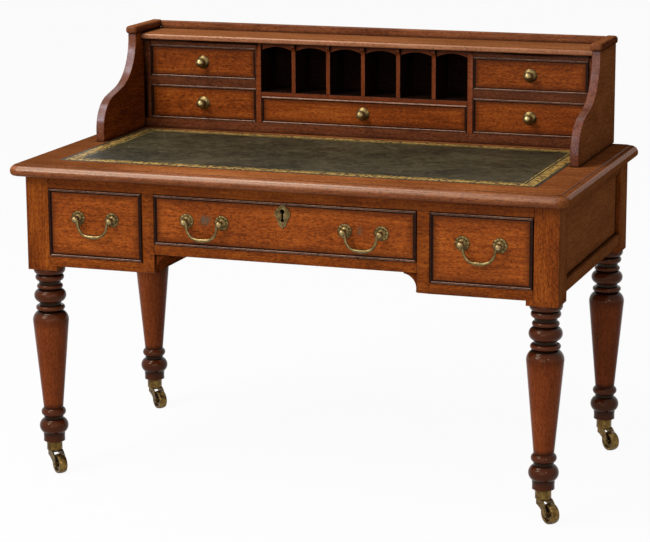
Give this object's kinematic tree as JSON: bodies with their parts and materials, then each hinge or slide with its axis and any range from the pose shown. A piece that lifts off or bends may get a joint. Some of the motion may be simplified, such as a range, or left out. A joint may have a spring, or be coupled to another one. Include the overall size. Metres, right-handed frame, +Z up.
{
  "type": "captains desk",
  "caption": "Mahogany writing desk on turned legs with brass casters, a leather-inset top, frieze drawers with bail handles and a rear gallery of small drawers and pigeonholes.",
  "frame": {"origin": "on the floor under the centre of the desk top", "axes": "+X to the right seen from the sitter's side, -Y is the front, +Z up"},
  "size_m": [1.3, 0.718, 0.99],
  "materials": {
    "mahogany": "french polish",
    "mahogany_front": "french polish",
    "drawer_lining": "bare, aged",
    "leather": "satin, gilt border",
    "brass": "aged, lacquered"
  },
  "bodies": {
    "desk": {"leg_front_left": "mahogany", "leg_front_right": "mahogany", "leg_back_left": "mahogany", "leg_back_right": "mahogany", "caster_cups": "brass", "end_panels": "mahogany", "end_rails": "mahogany", "back_board": "mahogany", "front_frame": "mahogany", "kneehole_cheeks": "mahogany", "kneehole_brackets": "mahogany", "drawer_runners": "drawer_lining", "desk_top": "mahogany", "leather_inset": "leather", "gallery_sides": "mahogany", "gallery_shelf": "mahogany", "gallery_capping": "mahogany", "gallery_back": "mahogany", "gallery_frame": "mahogany", "pigeonhole_dividers": "mahogany", "pigeonhole_arches": "mahogany"},
    "drawer_left": {"drawer_left_front": "mahogany_front", "drawer_left_box": "drawer_lining", "drawer_left_plates": "brass"},
    "drawer_centre": {"drawer_centre_front": "mahogany_front", "drawer_centre_box": "drawer_lining", "drawer_centre_plates": "brass", "keyhole_escutcheon": "brass", "lock_case": "brass"},
    "drawer_right": {"drawer_right_front": "mahogany_front", "drawer_right_box": "drawer_lining", "drawer_right_plates": "brass"},
    "lock_bolt": {"lock_bolt": "brass"},
    "bail_left": {"bail_left": "brass"},
    "bail_centre_left": {"bail_centre_left": "brass"},
    "bail_centre_right": {"bail_centre_right": "brass"},
    "bail_right": {"bail_right": "brass"},
    "gallery_drawer_upper_left": {"gallery_drawer_upper_left_front": "mahogany_front", "gallery_drawer_upper_left_box": "drawer_lining", "gallery_drawer_upper_left_knob": "brass"},
    "gallery_drawer_lower_left": {"gallery_drawer_lower_left_front": "mahogany_front", "gallery_drawer_lower_left_box": "drawer_lining", "gallery_drawer_lower_left_knob": "brass"},
    "gallery_drawer_middle": {"gallery_drawer_middle_front": "mahogany_front", "gallery_drawer_middle_box": "drawer_lining", "gallery_drawer_middle_knob": "brass"},
    "gallery_drawer_upper_right": {"gallery_drawer_upper_right_front": "mahogany_front", "gallery_drawer_upper_right_box": "drawer_lining", "gallery_drawer_upper_right_knob": "brass"},
    "gallery_drawer_lower_right": {"gallery_drawer_lower_right_front": "mahogany_front", "gallery_drawer_lower_right_box": "drawer_lining", "gallery_drawer_lower_right_knob": "brass"},
    "caster_fork_front_left": {"caster_fork_front_left": "brass"},
    "caster_wheel_front_left": {"caster_wheel_front_left": "brass"},
    "caster_fork_front_right": {"caster_fork_front_right": "brass"},
    "caster_wheel_front_right": {"caster_wheel_front_right": "brass"},
    "caster_fork_back_left": {"caster_fork_back_left": "brass"},
    "caster_wheel_back_left": {"caster_wheel_back_left": "brass"},
    "caster_fork_back_right": {"caster_fork_back_right": "brass"},
    "caster_wheel_back_right": {"caster_wheel_back_right": "brass"}
  },
  "joints": [
    {"name": "drawer_left_slide", "type": "slide", "parent": "desk", "child": "drawer_left", "axis": [0, -1, 0], "range_m": [0, 0.4]},
    {"name": "drawer_centre_slide", "type": "slide", "parent": "desk", "child": "drawer_centre", "axis": [0, -1, 0], "range_m": [0, 0.4]},
    {"name": "drawer_right_slide", "type": "slide", "parent": "desk", "child": "drawer_right", "axis": [0, -1, 0], "range_m": [0, 0.4]},
    {"name": "lock_bolt_slide", "type": "slide", "parent": "drawer_centre", "child": "lock_bolt", "axis": [0, 0, 1], "range_m": [0, 0.008]},
    {"name": "bail_left_swing", "type": "hinge", "parent": "drawer_left", "child": "bail_left", "pos_m": [-0.45175, -0.331, 0.614], "axis": [-1, 0, 0], "range_deg": [0, 100]},
    {"name": "bail_centre_left_swing", "type": "hinge", "parent": "drawer_centre", "child": "bail_centre_left", "pos_m": [-0.18603, -0.331, 0.62375], "axis": [-1, 0, 0], "range_deg": [0, 100]},
    {"name": "bail_centre_right_swing", "type": "hinge", "parent": "drawer_centre", "child": "bail_centre_right", "pos_m": [0.18603, -0.331, 0.62375], "axis": [-1, 0, 0], "range_deg": [0, 100]},
    {"name": "bail_right_swing", "type": "hinge", "parent": "drawer_right", "child": "bail_right", "pos_m": [0.45175, -0.331, 0.614], "axis": [-1, 0, 0], "range_deg": [0, 100]},
    {"name": "gallery_drawer_upper_left_slide", "type": "slide", "parent": "desk", "child": "gallery_drawer_upper_left", "axis": [0, -1, 0], "range_m": [0, 0.075]},
    {"name": "gallery_drawer_lower_left_slide", "type": "slide", "parent": "desk", "child": "gallery_drawer_lower_left", "axis": [0, -1, 0], "range_m": [0, 0.075]},
    {"name": "gallery_drawer_middle_slide", "type": "slide", "parent": "desk", "child": "gallery_drawer_middle", "axis": [0, -1, 0], "range_m": [0, 0.075]},
    {"name": "gallery_drawer_upper_right_slide", "type": "slide", "parent": "desk", "child": "gallery_drawer_upper_right", "axis": [0, -1, 0], "range_m": [0, 0.075]},
    {"name": "gallery_drawer_lower_right_slide", "type": "slide", "parent": "desk", "child": "gallery_drawer_lower_right", "axis": [0, -1, 0], "range_m": [0, 0.075]},
    {"name": "caster_swivel_front_left", "type": "hinge", "parent": "desk", "child": "caster_fork_front_left", "pos_m": [-0.587, -0.278, 0.05], "axis": [0, 0, 1], "continuous": true},
    {"name": "caster_roll_front_left", "type": "hinge", "parent": "caster_fork_front_left", "child": "caster_wheel_front_left", "pos_m": [-0.56632, -0.29535, 0.023], "axis": [0.6428, 0.766, 0], "continuous": true},
    {"name": "caster_swivel_front_right", "type": "hinge", "parent": "desk", "child": "caster_fork_front_right", "pos_m": [0.587, -0.278, 0.05], "axis": [0, 0, 1], "continuous": true},
    {"name": "caster_roll_front_right", "type": "hinge", "parent": "caster_fork_front_right", "child": "caster_wheel_front_right", "pos_m": [0.60768, -0.29535, 0.023], "axis": [0.6428, 0.766, 0], "continuous": true},
    {"name": "caster_swivel_back_left", "type": "hinge", "parent": "desk", "child": "caster_fork_back_left", "pos_m": [-0.587, 0.31, 0.05], "axis": [0, 0, 1], "continuous": true},
    {"name": "caster_roll_back_left", "type": "hinge", "parent": "caster_fork_back_left", "child": "caster_wheel_back_left", "pos_m": [-0.56632, 0.29264, 0.023], "axis": [0.6428, 0.766, 0], "continuous": true},
    {"name": "caster_swivel_back_right", "type": "hinge", "parent": "desk", "child": "caster_fork_back_right", "pos_m": [0.587, 0.31, 0.05], "axis": [0, 0, 1], "continuous": true},
    {"name": "caster_roll_back_right", "type": "hinge", "parent": "caster_fork_back_right", "child": "caster_wheel_back_right", "pos_m": [0.60768, 0.29264, 0.023], "axis": [0.6428, 0.766, 0], "continuous": true}
  ]
}
